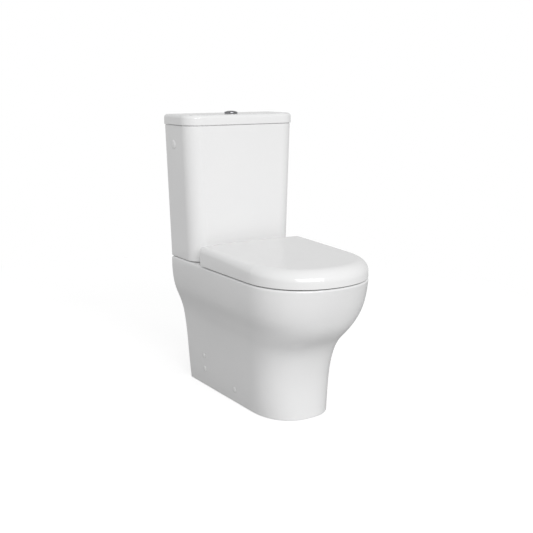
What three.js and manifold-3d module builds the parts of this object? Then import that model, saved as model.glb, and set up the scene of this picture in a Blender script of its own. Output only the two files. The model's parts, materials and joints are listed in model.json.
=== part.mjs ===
// Close coupled toilet: a floor standing, back-to-wall china pan with a bolted-on cistern,
// a wrap-over seat and cover, a dual flush valve and a bottom entry fill valve.
// Millimetres. +Z is up, +Y points to the wall, -Y to the front; the origin is on the floor,
// under the middle of the object's bounding box.
import * as THREE from "three";
import { mergeVertices } from "three/addons/utils/BufferGeometryUtils.js";
import Module from "manifold-3d";

const wasm = await Module();
wasm.setup();

// ---------------------------------------------------------------- driving dimensions
const WALL_Y = 316; // finished wall behind the pan and the cistern
const FRONT_Y = -316; // front of the seat cover
const GAP = 0.3; // clearance between pieces that touch
const DECK_Z = 400; // top of the pan
const DECK = 12; // thickness of the deck and of the rim
const SKIRT = 11; // thickness of the pan's outer wall
const RIM_FRONT = -315;
const RIM_HALF = 177.5;
const BACK_HALF = 170;
const CURVE_START = -167; // where the rim's straight sides turn into the half ellipse

const CISTERN = { floor: 402, top: 798.5, front: 163, half: 169.5, topHalf: 183.6, wall: 9, corner: 46 };
const LID = { bottom: 799.2, top: 829, front: 160.5, half: 186.5, corner: 48, round: 10, skin: 11 };
const VALVE = { x: 0, y: 238 }; // flush valve and push button
const FILL = { x: 128, y: 250 }; // fill valve
const BOLT_X = 82; // cistern to pan bolts, in line with the flush valve
const SIDE_HOLE = { y: 262, z: 742, r: 11.5 };

const HINGE = { x: 77.5, y: 105.5, z: 420, pin: 4, knuckle: 9 };
const SEAT = { bottom: 408, top: 436, rear: 76, front: -303, half: 165, start: -150 };
const COVER = { bottom: 403, rear: 122, half: 178.2, start: -160, top: 461.2, slope: 0.024, crown: 3.3 };
const COVER_WALL = 5;
const COVER_ROOF = 6;

const OUTLET = { y: 250, z: 185, bore: 40, outer: 51 };
const FIXING = { y: 35, z: 40 }; // side screw into the floor bracket
const REAR_CAPS = { y: 210, low: 56, high: 100 };

// ---------------------------------------------------------------- materials
const finish = (color, roughness, metalness = 0) =>
  new THREE.MeshStandardMaterial({ color, roughness, metalness });
const CHINA = finish(0xf4f4f2, 0.08);
const SEAT_PLASTIC = finish(0xf5f5f3, 0.14);
const CHROME = finish(0xc9ccd0, 0.08, 1);
const STEEL = finish(0xaeb1b4, 0.35, 1);
const WHITE_PLASTIC = finish(0xe9e9e6, 0.45);
const GREY_PLASTIC = finish(0x9fa3a6, 0.5);
const BLUE_PLASTIC = finish(0x4f7fae, 0.45);
const RUBBER = finish(0x2a2a2b, 0.8);
const CLEAR_RUBBER = finish(0xd9d9d4, 0.5);

// ---------------------------------------------------------------- solids
const v2 = (x, y) => new THREE.Vector2(x, y);

function toSolid(geometry) {
  const bare = new THREE.BufferGeometry().setAttribute("position", geometry.getAttribute("position"));
  bare.setIndex(geometry.index);
  const merged = mergeVertices(bare, 1e-4);
  const triVerts = new Uint32Array(merged.index.array);
  const vertProperties = merged.attributes.position.array;
  const made = new wasm.Manifold(new wasm.Mesh({ numProp: 3, vertProperties, triVerts }));
  if (made.volume() > 0) return made;
  for (let i = 0; i < triVerts.length; i += 3) {
    [triVerts[i], triVerts[i + 1]] = [triVerts[i + 1], triVerts[i]];
  }
  return new wasm.Manifold(new wasm.Mesh({ numProp: 3, vertProperties, triVerts }));
}

function toGeometry(solid) {
  const mesh = solid.getMesh();
  const positions = new Float32Array(mesh.numVert * 3);
  for (let i = 0; i < mesh.numVert; i++) {
    positions.set(mesh.vertProperties.subarray(i * mesh.numProp, i * mesh.numProp + 3), i * 3);
  }
  const geometry = new THREE.BufferGeometry();
  geometry.setAttribute("position", new THREE.BufferAttribute(positions, 3));
  geometry.setIndex(new THREE.BufferAttribute(mesh.triVerts, 1));
  geometry.computeVertexNormals();
  return geometry;
}

const join = (...solids) => solids.reduce((a, b) => a.add(b));
const cut = (solid, ...tools) => tools.reduce((a, b) => a.subtract(b), solid);

// A box given by its lowest and highest corners.
function box(low, high) {
  const size = high.map((h, i) => h - low[i]);
  const centre = high.map((h, i) => (h + low[i]) / 2);
  return toSolid(new THREE.BoxGeometry(...size).translate(...centre));
}

// A profile of [radius, height] points turned round a vertical axis through (x, y).
function turned(profile, { x = 0, y = 0, segments = 24 } = {}) {
  const points = profile.map(([r, z]) => v2(r, z));
  if (profile[0][0] > 0) points.push(points[0].clone());
  return toSolid(new THREE.LatheGeometry(points, segments).rotateX(Math.PI / 2).translate(x, y, 0));
}

const disc = (radius, low, high, place) =>
  turned([[0, low], [radius, low], [radius, high], [0, high]], place);
const ring = (inner, outer, low, high, place) =>
  turned([[inner, low], [outer, low], [outer, high], [inner, high]], place);
const nut = (sides, inner, outer, low, high, at) =>
  cut(disc(outer, low, high, { ...at, segments: sides }), disc(inner, low - 1, high + 1, at));

// A cylinder along X from x0 to x1.
function barX(radius, x0, x1, y, z, segments = 20) {
  const length = Math.abs(x1 - x0);
  const geometry = new THREE.CylinderGeometry(radius, radius, length, segments).rotateZ(Math.PI / 2);
  return toSolid(geometry.translate((x0 + x1) / 2, y, z));
}

// A plate in the YZ plane, from x0 to x1, with an outline of [y, z] points.
function plateX(outline, x0, x1) {
  const shape = new THREE.Shape(outline.map(([y, z]) => v2(y, z)));
  const geometry = new THREE.ExtrudeGeometry(shape, { depth: x1 - x0, bevelEnabled: false });
  // extruded along Z, then turned so that (u, v, depth) becomes (depth, u, v)
  geometry.applyMatrix4(new THREE.Matrix4().set(0, 0, 1, x0, 1, 0, 0, 0, 0, 1, 0, 0, 0, 0, 0, 1));
  return toSolid(geometry);
}

// A closed loft through rings of equal point count, each ring an array of [x, y, z].
function loft(rings) {
  const count = rings[0].length;
  const positions = rings.flat(2);
  const index = [];
  for (let r = 0; r + 1 < rings.length; r++) {
    for (let i = 0; i < count; i++) {
      const j = (i + 1) % count;
      const [a, b, c, d] = [r * count + i, r * count + j, (r + 1) * count + j, (r + 1) * count + i];
      index.push(a, b, c, a, c, d);
    }
  }
  for (const [r, flip] of [[0, true], [rings.length - 1, false]]) {
    const centre = [0, 1, 2].map((k) => rings[r].reduce((sum, p) => sum + p[k], 0) / count);
    const middle = positions.length / 3;
    positions.push(...centre);
    for (let i = 0; i < count; i++) {
      const [a, b] = [r * count + i, r * count + ((i + 1) % count)];
      index.push(...(flip ? [middle, b, a] : [middle, a, b]));
    }
  }
  const geometry = new THREE.BufferGeometry();
  geometry.setAttribute("position", new THREE.Float32BufferAttribute(positions, 3));
  geometry.setIndex(index);
  return toSolid(geometry);
}

const atHeight = (outline, z) => outline.map(([x, y]) => [x, y, z]);

// ---------------------------------------------------------------- outlines seen from above
// A smooth curve through [height, value] knots, read at a height.
function through(knots, z) {
  const last = knots.length - 1;
  const slope = (i) => {
    const [a, b] = [knots[Math.max(i - 1, 0)], knots[Math.min(i + 1, last)]];
    return (b[1] - a[1]) / (b[0] - a[0]);
  };
  let i = 0;
  while (i < last - 1 && z > knots[i + 1][0]) i++;
  const [[z0, p0], [z1, p1]] = [knots[i], knots[i + 1]];
  const t = Math.min(Math.max((z - z0) / (z1 - z0), 0), 1);
  const span = z1 - z0;
  const [t2, t3] = [t * t, t * t * t];
  return (
    (2 * t3 - 3 * t2 + 1) * p0 + (t3 - 2 * t2 + t) * span * slope(i) +
    (3 * t2 - 2 * t3) * p1 + (t3 - t2) * span * slope(i + 1)
  );
}

const spread = (count, f) => Array.from({ length: count }, (_, i) => f(i / (count - 1)));

// A D: half ellipse at the front, sides that draw in towards the back, rounded rear corners.
function dShape({ back, front, start, half, backHalf = half, corner = 6, curve = 19, sides = 3, arc = 3,
  across = 0 }) {
  const points = spread(curve, (t) => {
    const a = -Math.PI + Math.PI * t;
    return [half * Math.cos(a), start + (start - front) * Math.sin(a)];
  });
  const sideX = (u) => backHalf + (half - backHalf) * Math.cos((u * Math.PI) / 2);
  const sideEnd = back - corner;
  const side = spread(sides, (t) => [sideX(t), start + (sideEnd - start) * t]).slice(1, -1);
  const rear = spread(arc, (t) => {
    const a = (t * Math.PI) / 2;
    return [backHalf - corner + corner * Math.cos(a), sideEnd + corner * Math.sin(a)];
  });
  const rearX = (t) => (backHalf - corner) * Math.cos(Math.PI * t);
  const rearLine = spread(across + 2, (t) => [rearX(t), back]).slice(1, -1);
  const mirror = (list) => list.map(([x, y]) => [-x, y]).reverse();
  return [...points, ...side, ...rear, ...rearLine, ...mirror(rear), ...mirror(side)];
}

// An egg: two half ellipses that meet on the widest line.
function eggShape({ front, back, wide, half, count = 24 }) {
  return Array.from({ length: count }, (_, i) => {
    const a = (2 * Math.PI * i) / count;
    const reach = Math.sin(a) < 0 ? wide - front : back - wide;
    return [half * Math.cos(a), wide + reach * Math.sin(a)];
  });
}

// A rectangle against the wall with large front corners and small rear ones.
function tankShape({ half, front, back = WALL_Y, corner, rear = 6, inset = 0, arc = 6 }) {
  const [w, f, b] = [half - inset, front + inset, back - inset];
  const [r, q] = [Math.max(corner - inset, 1), Math.max(rear - inset, 1)];
  const fan = (cx, cy, radius, from, steps) =>
    spread(steps, (t) => {
      const a = from + (t * Math.PI) / 2;
      return [cx + radius * Math.cos(a), cy + radius * Math.sin(a)];
    });
  return [
    ...fan(-w + r, f + r, r, Math.PI, arc),
    ...fan(w - r, f + r, r, 1.5 * Math.PI, arc),
    ...fan(w - q, b - q, q, 0, 3),
    ...fan(-w + q, b - q, q, 0.5 * Math.PI, 3),
  ];
}

// ---------------------------------------------------------------- pan
// Each list is [height, value]: half width at the wall and at the widest, front, and start of the curve.
const PAN_BACK_HALF = [[0, 110], [50, 115], [150, 123], [190, 127.5], [220, 132], [245, 138], [270, 147],
  [300, 159], [335, 167], [370, BACK_HALF], [400, BACK_HALF]];
const PAN_HALF = [[0, 110], [50, 115], [150, 123.5], [190, 129], [220, 135], [245, 143], [270, 152],
  [300, 165], [335, 173.5], [370, 177], [400, RIM_HALF]];
const PAN_FRONT = [[0, -185], [50, -180.5], [100, -180], [150, -187], [190, -200], [220, -220], [245, -246],
  [270, -268], [300, -284], [335, -297], [370, -307], [400, RIM_FRONT]];
const PAN_START = [[0, -80], [100, -88], [190, -105], [245, -133], [300, -160], [400, CURVE_START]];
const RIM_ROUND = 6;
const BOWL_ROUND = 7; // rounding of the bowl's upper edge
const BOWL_WALL = 10;
const BOWL_FOOT = 118;

function panOutline(z, inset = 0, options = {}) {
  return dShape({
    back: WALL_Y - inset,
    front: through(PAN_FRONT, z) + inset,
    start: through(PAN_START, z),
    half: through(PAN_HALF, z) - inset,
    backHalf: through(PAN_BACK_HALF, z) - inset,
    ...options,
  });
}

const BOWL_HALF = [[110, 30], [130, 45], [160, 60], [200, 83], [250, 108], [300, 124], [350, 130],
  [400, 128]];
const BOWL_FRONT = [[110, -70], [130, -92], [160, -128], [200, -176], [250, -226], [300, -256], [350, -269],
  [400, -268]];
const BOWL_BACK = [[110, -10], [130, 0], [160, 6], [200, 12], [250, 18], [300, 24], [350, 28], [400, 25]];

function bowlOutline(z, grow = 0) {
  return eggShape({
    front: through(BOWL_FRONT, z) - grow,
    back: through(BOWL_BACK, z) + grow,
    wide: through(BOWL_FRONT, z) * 0.36,
    half: through(BOWL_HALF, z) + grow,
  });
}

// The trap: down from the sump, up over the weir and out towards the wall.
const TRAP_PATH = [[-50, 128], [-22, 92], [22, 76], [62, 100], [88, 150], [118, 194], [162, 204],
  [206, OUTLET.z], [OUTLET.y, OUTLET.z]];

function trapTube(radius, lead, overrun) {
  const points = TRAP_PATH.map(([y, z]) => new THREE.Vector3(0, y, z));
  const start = points[0].clone().sub(points[1]).setLength(lead).add(points[0]);
  points.unshift(start);
  points[points.length - 1].y += overrun;
  const circle = new THREE.Shape().absarc(0, 0, radius, 0, 2 * Math.PI);
  const geometry = new THREE.ExtrudeGeometry(circle, {
    steps: 16,
    curveSegments: 7,
    extrudePath: new THREE.CatmullRomCurve3(points),
    bevelEnabled: false,
  });
  return toSolid(geometry);
}

const WELL = { recess: 49, bore: 36, ledge: 386, floor: 352, wall: 8 };
const DUCT = { radius: 16, z: 368 };

function makePan() {
  const levels = [0, 50, 100, 150, 190, 220, 245, 270, 300, 335, 370, DECK_Z - RIM_ROUND];
  const skin = levels.map((z) => atHeight(panOutline(z), z));
  for (const a of [Math.PI / 4, Math.PI / 2]) {
    const z = DECK_Z - RIM_ROUND * (1 - Math.sin(a));
    skin.push(atHeight(panOutline(z, RIM_ROUND * (1 - Math.cos(a))), z));
  }
  const hollowLevels = [-1, 100, 190, 245, 300, 350, DECK_Z - DECK];
  const hollow = hollowLevels.map((z) => {
    const outline = panOutline(z, SKIRT, { back: WALL_Y + 5, corner: 3, curve: 13, sides: 3 });
    return atHeight(outline, z);
  });
  // below its foot the bowl's skin drops straight, to close under the sump
  const bowlSkin = [BOWL_FOOT - 14, 140, 170, 200, 250, 300, 350, DECK_Z - 1].map((z) =>
    atHeight(bowlOutline(Math.max(z, BOWL_FOOT), BOWL_WALL), z));
  const bowlRoom = [110, 130, 160, 200, 250, 300, 350, DECK_Z - BOWL_ROUND].map((z) =>
    atHeight(bowlOutline(z), z));
  for (const a of [Math.PI / 4, Math.PI / 2]) {
    const z = DECK_Z - BOWL_ROUND * (1 - Math.sin(a));
    bowlRoom.push(atHeight(bowlOutline(z, BOWL_ROUND * (1 - Math.cos(a))), z));
  }
  bowlRoom.push(atHeight(bowlOutline(DECK_Z, BOWL_ROUND), DECK_Z + 1));

  const outer = loft(skin);
  const ductPlace = (radius, from) => {
    const geometry = new THREE.CylinderGeometry(radius, radius, VALVE.y - from, 16);
    return toSolid(geometry.translate(0, (VALVE.y + from) / 2, DUCT.z));
  };
  const body = join(
    cut(outer, loft(hollow)),
    loft(bowlSkin),
    trapTube(OUTLET.outer, 20, 0),
    disc(WELL.recess + WELL.wall, WELL.floor - WELL.wall, DECK_Z - 1, VALVE),
    ductPlace(DUCT.radius + 7, 30),
  );
  const holes = [-1, 1].flatMap((side) => [
    disc(6, DECK_Z - 40, DECK_Z + 1, { x: side * HINGE.x, y: HINGE.y, segments: 16 }),
    disc(6, DECK_Z - 40, DECK_Z + 1, { x: side * BOLT_X, y: VALVE.y, segments: 16 }),
    ...[[FIXING.y, FIXING.z], [REAR_CAPS.y, REAR_CAPS.low], [REAR_CAPS.y, REAR_CAPS.high]].map(([y, z]) =>
      barX(5.5, side * 90, side * 130, y, z, 16)),
  ]);
  return cut(
    body,
    loft(bowlRoom),
    trapTube(OUTLET.bore, 2, 8),
    disc(WELL.recess, WELL.ledge, DECK_Z + 1, { ...VALVE, segments: 32 }),
    disc(WELL.bore, WELL.floor, DECK_Z, VALVE),
    ductPlace(DUCT.radius, 10),
    disc(16, DECK_Z - 40, DECK_Z + 1, FILL),
    ...holes,
  );
}

// ---------------------------------------------------------------- cistern and lid
const cisternHalf = (z) => {
  const t = (z - CISTERN.floor) / (CISTERN.top - CISTERN.floor);
  return CISTERN.half + (CISTERN.topHalf - CISTERN.half) * t;
};
const cisternRing = (z, inset) =>
  atHeight(tankShape({ half: cisternHalf(z), front: CISTERN.front, corner: CISTERN.corner, inset }), z);
const FLOOR_TOP = CISTERN.floor + 12;

function makeCistern() {
  const outer = loft([
    cisternRing(CISTERN.floor, 4),
    cisternRing(CISTERN.floor + 4, 0),
    cisternRing(CISTERN.top - 3, 0),
    cisternRing(CISTERN.top, 3),
  ]);
  const room = loft([cisternRing(FLOOR_TOP, CISTERN.wall), cisternRing(CISTERN.top + 1, CISTERN.wall)]);
  const wholeFloor = [CISTERN.floor - 1, FLOOR_TOP + 1];
  return cut(
    outer,
    room,
    disc(32, ...wholeFloor, { ...VALVE, segments: 32 }),
    disc(11.5, ...wholeFloor, FILL),
    disc(5.5, ...wholeFloor, { x: BOLT_X, y: VALVE.y, segments: 16 }),
    disc(5.5, ...wholeFloor, { x: -BOLT_X, y: VALVE.y, segments: 16 }),
    barX(SIDE_HOLE.r, 160, 200, SIDE_HOLE.y, SIDE_HOLE.z),
    barX(SIDE_HOLE.r, -200, -160, SIDE_HOLE.y, SIDE_HOLE.z),
  );
}

const BUTTON_HOLE = 18.5;

function makeLid() {
  const plan = (z, inset) =>
    atHeight(tankShape({ half: LID.half, front: LID.front, corner: LID.corner, rear: 7, inset }), z);
  const rounded = spread(4, (t) => {
    const a = (t * Math.PI) / 2;
    return plan(LID.top - LID.round * (1 - Math.sin(a)), LID.round * (1 - Math.cos(a)));
  });
  const slab = loft([plan(LID.bottom, 3), plan(LID.bottom + 3, 0), ...rounded]);
  const lipHalf = CISTERN.topHalf - CISTERN.wall - 2.2;
  const lip = (z, inset) =>
    atHeight(
      tankShape({ half: lipHalf, front: CISTERN.front + 11.2, back: WALL_Y - 11.2, corner: 36, inset }), z);
  const skirt = loft([lip(LID.bottom - 10, 0), lip(LID.bottom + 2, 0)]);
  const pocket = loft([lip(LID.bottom - 11, 6), lip(LID.top - LID.skin, 6)]);
  return cut(join(slab, skirt), pocket, disc(BUTTON_HOLE, 800, LID.top + 1, VALVE));
}

// ---------------------------------------------------------------- push buttons
const BUTTON = { radius: 16.5, edge: 833.4, crown: 837, low: 822, split: -3 };
const FULL_X = 6;
const HALF_X = -9;
const ROD_END = 704.5;

function buttonDome() {
  const dome = spread(5, (t) => [BUTTON.radius * Math.cos((t * Math.PI) / 2),
    BUTTON.edge + (BUTTON.crown - BUTTON.edge) * Math.sin((t * Math.PI) / 2)]);
  dome[4][0] = 0;
  return turned([[0, BUTTON.low], [BUTTON.radius, BUTTON.low], ...dome], { ...VALVE, segments: 32 });
}

function makeButtons() {
  const side = (x0, x1) => box([x0, VALVE.y - 20, BUTTON.low - 1], [x1, VALVE.y + 20, BUTTON.crown + 1]);
  const rod = (x) => disc(2.5, ROD_END, BUTTON.low - GAP, { x, y: VALVE.y, segments: 12 });
  return {
    full_flush_button: [buttonDome().intersect(side(BUTTON.split + GAP, 20)), CHROME],
    half_flush_button: [buttonDome().intersect(side(-20, BUTTON.split - GAP)), CHROME],
    full_flush_rod: [rod(FULL_X), WHITE_PLASTIC],
    half_flush_rod: [rod(HALF_X), WHITE_PLASTIC],
    button_bezel: [
      turned([[16.9, 800], [18, 800], [18, LID.top + GAP], [19.8, LID.top + GAP], [19.8, LID.top + 1.8],
        [18.5, 834], [16.9, 834]], { ...VALVE, segments: 28 }), CHROME],
    button_nut: [
      nut(12, 18.5, 26, LID.top - LID.skin - 10, LID.top - LID.skin - GAP, VALVE), WHITE_PLASTIC],
  };
}

// ---------------------------------------------------------------- flush valve
const SEAT_Z = 424; // face that the valve's seal sits on
const HEAD_Z = 640;
const AXLE = { y: 252, z: 697, r: 2 };
const HOOK_Z = AXLE.z + 3;

function makeFlushValve() {
  const place = (segments) => ({ ...VALVE, segments });
  const tower = ring(37, 40, SEAT_Z + GAP, HEAD_Z, place(24));
  const windows = [0, 1].map((turn) => {
    const [a, b] = turn ? [26, 60] : [60, 26];
    return box([-a, VALVE.y - b, SEAT_Z + 10], [a, VALVE.y + b, HEAD_Z - 18]);
  });
  const ribs = [45, 135, 225, 315].map((deg) => {
    const a = (deg * Math.PI) / 180;
    const foot = { x: 36 * Math.cos(a), y: VALVE.y + 36 * Math.sin(a), segments: 10 };
    return disc(4.5, SEAT_Z + GAP, HEAD_Z, foot);
  });
  const cheek = (x0) => cut(
    box([x0, AXLE.y - 6, HEAD_Z + 5], [x0 + 4, AXLE.y + 6, AXLE.z + 6]),
    barX(AXLE.r + 0.35, x0 - 1, x0 + 5, AXLE.y, AXLE.z, 12));
  const rocker = (x0, x1, tail) => join(
    plateX([[233, AXLE.z + 1], [243, AXLE.z + 3], [243, AXLE.z + 6.5], [233, AXLE.z + 6.5]], x0, x1),
    plateX([[235, AXLE.z - 2.5], [tail, AXLE.z - 2.5], [tail, AXLE.z + 2.5], [260, AXLE.z + 2.5],
      [256, AXLE.z + 4.5], [235, AXLE.z + 5]], x0, x1),
  );
  const bored = (solid, x0, x1) => cut(solid, barX(AXLE.r + 0.35, x0 - 1, x1 + 1, AXLE.y, AXLE.z, 12));
  const cartridge = join(
    turned([[12, 427.7], [26, 427.7], [26, 431], [14, 431], [14, 668], [12, 668]], place(20)),
    ring(13.5, 17, 652, 660, place(20)),
    box([1, VALVE.y + 14.5, 653], [11, 280, 659]),
    box([1, 276, 653], [11, 280, HOOK_Z + 5]),
    box([1, 267, HOOK_Z], [11, 280, HOOK_Z + 5]),
  );
  return {
    flush_valve_base: [
      turned([[24.5, 374], [29, 374], [29, 418.3], [44, 418.3], [44, SEAT_Z], [24.5, SEAT_Z]], place(28)),
      WHITE_PLASTIC],
    flush_valve_cage: [
      cut(join(tower, ...ribs), ...windows, disc(31, SEAT_Z, HEAD_Z + 1, VALVE)), WHITE_PLASTIC],
    flush_valve_head: [
      join(ring(15.5, 41, HEAD_Z + GAP, HEAD_Z + 6, place(24)), cheek(16), cheek(-20)), BLUE_PLASTIC],
    flush_valve_gasket: [ring(29.4, 42, FLOOR_TOP + GAP, 418, place(24)), RUBBER],
    flush_valve_backnut: [nut(8, 29.5, 37.8, 390, CISTERN.floor - GAP, VALVE), WHITE_PLASTIC],
    coupling_gasket: [ring(38.4, 47.5, WELL.ledge + GAP, CISTERN.floor - GAP, place(28)), RUBBER],
    overflow_tube: [cartridge, WHITE_PLASTIC],
    valve_seal: [ring(12.2, 28, SEAT_Z + GAP, 427.4, place(24)), CLEAR_RUBBER],
    rocker_axle: [barX(AXLE.r, -21, 21, AXLE.y, AXLE.z, 12), STEEL],
    full_flush_rocker: [bored(rocker(2, 10, 274), 2, 10), GREY_PLASTIC],
    half_flush_rocker: [bored(rocker(-13, -5, 262), -13, -5), GREY_PLASTIC],
  };
}

// ---------------------------------------------------------------- fill valve
const FLOAT = { low: 560, high: 620 };
const LEVER = { y: 236, z: 682, floatY: 203 };

function makeFillValve() {
  const place = (segments) => ({ ...FILL, segments });
  const ears = [-7, 4].map((x) => cut(
    box([FILL.x + x, LEVER.y - 5, 655], [FILL.x + x + 3, LEVER.y + 5, LEVER.z + 5]),
    barX(1.85, FILL.x + x - 1, FILL.x + x + 4, LEVER.y, LEVER.z, 10)));
  const cup = turned([[10.5, FLOAT.low], [13, FLOAT.low], [13, FLOAT.high - 4], [22.5, FLOAT.high - 4],
    [22.5, FLOAT.low], [25, FLOAT.low], [25, FLOAT.high], [10.5, FLOAT.high]], place(20));
  const foot = box([FILL.x - 4, LEVER.floatY - 4, FLOAT.high - 5], [FILL.x + 4, 227.5, FLOAT.high]);
  const arm = disc(1.8, FLOAT.high - 3, LEVER.z - 1.5, { x: FILL.x, y: LEVER.floatY, segments: 10 });
  const lever = join(
    box([FILL.x - 3, LEVER.floatY - 5, LEVER.z - 0.5], [FILL.x + 3, FILL.y + 3, LEVER.z + 2.5]),
    barX(1.5, FILL.x - 8, FILL.x + 8, LEVER.y, LEVER.z, 10),
    disc(2.5, LEVER.z - 8, LEVER.z, { x: FILL.x, y: FILL.y, segments: 10 }),
  );
  return {
    fill_valve_body: [
      turned([[5, 350], [10, 350], [10, 417.3], [17, 417.3], [17, 422], [9, 422], [9, HEAD_Z],
        [5, HEAD_Z]], place(20)),
      WHITE_PLASTIC],
    fill_valve_head: [
      join(turned([[0, HEAD_Z + GAP], [19, HEAD_Z + GAP], [19, 662], [14, 668], [0, 668]], place(20)),
        ...ears),
      BLUE_PLASTIC],
    fill_valve_washer: [ring(10.4, 16.5, FLOOR_TOP + GAP, 417, place(20)), RUBBER],
    fill_valve_backnut: [nut(6, 10.5, 15, 391, CISTERN.floor - GAP, FILL), WHITE_PLASTIC],
    float_cup: [join(cup, foot, arm), GREY_PLASTIC],
    float_lever: [lever, BLUE_PLASTIC],
  };
}

// ---------------------------------------------------------------- cistern bolts
function wingNut(x, y, top, bore) {
  const hub = ring(bore, 9, top - 11, top, { x, y, segments: 14 });
  const wing = (sign) => plateX(
    [[y + sign * 7, top - 9], [y + sign * 20, top - 4], [y + sign * 20, top], [y + sign * 7, top - 2]],
    x - 1.6, x + 1.6);
  return join(hub, wing(-1), wing(1));
}

function makeCisternBolt(x) {
  const place = (segments) => ({ x, y: VALVE.y, segments });
  return {
    bolt: turned([[0, 352], [4, 352], [4, 420.3], [9.5, 420.3], [9.5, 426], [0, 426]], place(12)),
    washer: turned([[4.4, FLOOR_TOP + GAP], [13, FLOOR_TOP + GAP], [11, 420], [4.4, 420]], place(16)),
    nut: wingNut(x, VALVE.y, DECK_Z - DECK - GAP, 4.35),
  };
}

// ---------------------------------------------------------------- seat and cover
function makeSeatRing() {
  const plan = (z, inset) =>
    atHeight(dShape({ back: SEAT.rear - inset, front: SEAT.front + inset, start: SEAT.start,
      half: SEAT.half - inset, backHalf: SEAT.half - 3 - inset, corner: 22 - inset }), z);
  const opening = (z, grow) => atHeight(eggShape({ front: -232 - grow, back: 34 + grow, wide: -84,
    half: 112 + grow }), z);
  const [low, high] = [SEAT.bottom, SEAT.top];
  const slab = loft([
    plan(low, 1.5), plan(low + 2, 0), plan(high - 10, 0), plan(high - 4, 2.5), plan(high, 9)]);
  const hole = loft([
    opening(low - 1, 0), opening(high - 8, 0), opening(high - 2.5, 3), opening(high + 1, 10)]);
  const lugs = [-1, 1].map((side) => {
    const xs = [side * 86.5, side * 108].sort((a, b) => a - b);
    return cut(
      join(
        barX(HINGE.knuckle, ...xs, HINGE.y, HINGE.z),
        box([xs[0], SEAT.rear - 6, HINGE.z - 9], [xs[1], HINGE.y, HINGE.z + 9]),
      ),
      barX(HINGE.pin + 0.35, xs[0] - 1, xs[1] + 1, HINGE.y, HINGE.z),
    );
  });
  return join(cut(slab, hole), ...lugs);
}

// Top of the cover before its edges are rounded: it falls to the front and is crowned across.
const coverTop = (x, y) =>
  COVER.top - COVER.slope * (COVER.rear - y) - COVER.crown * (x / COVER.half) ** 2;

// The rounded edge grows from the hinge to the front: how far in it reaches and how far down.
const REAR_EDGE = { across: 6, down: 5 };
function sideEdge(y) {
  const t = ((COVER.rear - y) / (COVER.rear - FRONT_Y)) ** 2;
  return { across: 20 + 30 * t, down: 18 + 16 * t };
}

// How far a rounded edge has dropped at a distance in from the outline.
function edgeDrop({ across, down }, distance) {
  const left = 1 - Math.min(Math.max(distance / Math.max(across, 2), 0), 1);
  return Math.max(down, 1) * (1 - Math.sqrt(1 - left * left));
}

// One ring of the cover's surface, drawn in from its outline; wall and roof give the inside face.
function coverRing(inset, { wall = 0, roof = 0, low = null } = {}) {
  const back = COVER.rear - inset;
  const outline = dShape({ back, front: FRONT_Y + inset, start: COVER.start, half: COVER.half - inset,
    corner: Math.max(7 - inset, 2), sides: 5, across: 5 });
  const thinner = ({ across, down }) => ({ across: across - wall, down: down - roof });
  return outline.map(([x, y]) => {
    if (low !== null) return [x, y, low];
    const fromSide = y > COVER.start ? COVER.half - Math.abs(x) : inset;
    const drops = [edgeDrop(thinner(sideEdge(y)), fromSide - wall)];
    if (y > 0) drops.push(edgeDrop(thinner(REAR_EDGE), COVER.rear - y - wall));
    return [x, y, coverTop(x, y) - roof - Math.max(...drops)];
  });
}

const COVER_POST_GAP = { from: 60, to: 95, top: HINGE.z + 18 };
const COVER_SWEEP = 18.4; // nothing behind the hinge and below it reaches further out than this

function makeSeatCover() {
  const outside = [0, 1, 3.5, 8, 15, 26, 45, 90, 130].map((inset) => coverRing(inset));
  const shell = loft([
    coverRing(1, { low: COVER.bottom }), coverRing(0, { low: COVER.bottom + 1.5 }), ...outside]);
  const inside = [5, 7, 11, 20, 40, 120].map((inset) =>
    coverRing(inset, { wall: COVER_WALL, roof: COVER_ROOF }));
  const room = loft([coverRing(COVER_WALL, { low: COVER.bottom - 1 }), ...inside]);
  const lugs = [-1, 1].map((side) => {
    const xs = [side * 47, side * 68.5].sort((a, b) => a - b);
    return cut(
      join(
        barX(HINGE.knuckle, ...xs, HINGE.y, HINGE.z),
        box([xs[0], HINGE.y - 9, HINGE.z], [xs[1], HINGE.y + 9, coverTop(60, HINGE.y) - COVER_ROOF + 1.5]),
      ),
      barX(HINGE.pin + 0.35, xs[0] - 1, xs[1] + 1, HINGE.y, HINGE.z),
    );
  });
  const sweep = cut(
    box([-200, HINGE.y, COVER.bottom - 2], [200, COVER.rear + 2, HINGE.z]),
    barX(COVER_SWEEP, -201, 201, HINGE.y, HINGE.z, 48),
  );
  const gaps = [-1, 1].map((side) => {
    const xs = [side * COVER_POST_GAP.from, side * COVER_POST_GAP.to].sort((a, b) => a - b);
    return box([xs[0], HINGE.y + 10.5, COVER.bottom - 2], [xs[1], COVER.rear + 2, COVER_POST_GAP.top]);
  });
  return join(cut(shell, room, sweep, ...gaps), ...lugs);
}

function makeHinge(side) {
  const x = side * HINGE.x;
  const base = disc(12, DECK_Z + GAP, DECK_Z + 3.5, { x, y: HINGE.y, segments: 20 });
  const stem = join(
    box([x - 7, HINGE.y - 8, DECK_Z + 3], [x + 7, HINGE.y + 8, HINGE.z]),
    barX(9, x - 7, x + 7, HINGE.y, HINGE.z),
  );
  const bore = barX(HINGE.pin + 0.35, x - 8, x + 8, HINGE.y, HINGE.z);
  return {
    post: cut(join(base, stem), bore),
    pin: barX(HINGE.pin, side * 46, side * 109.5, HINGE.y, HINGE.z, 16),
    stud: disc(4, 345, DECK_Z, { x, y: HINGE.y, segments: 12 }),
    nut: wingNut(x, HINGE.y, DECK_Z - DECK - GAP, 4.35),
  };
}

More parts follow.
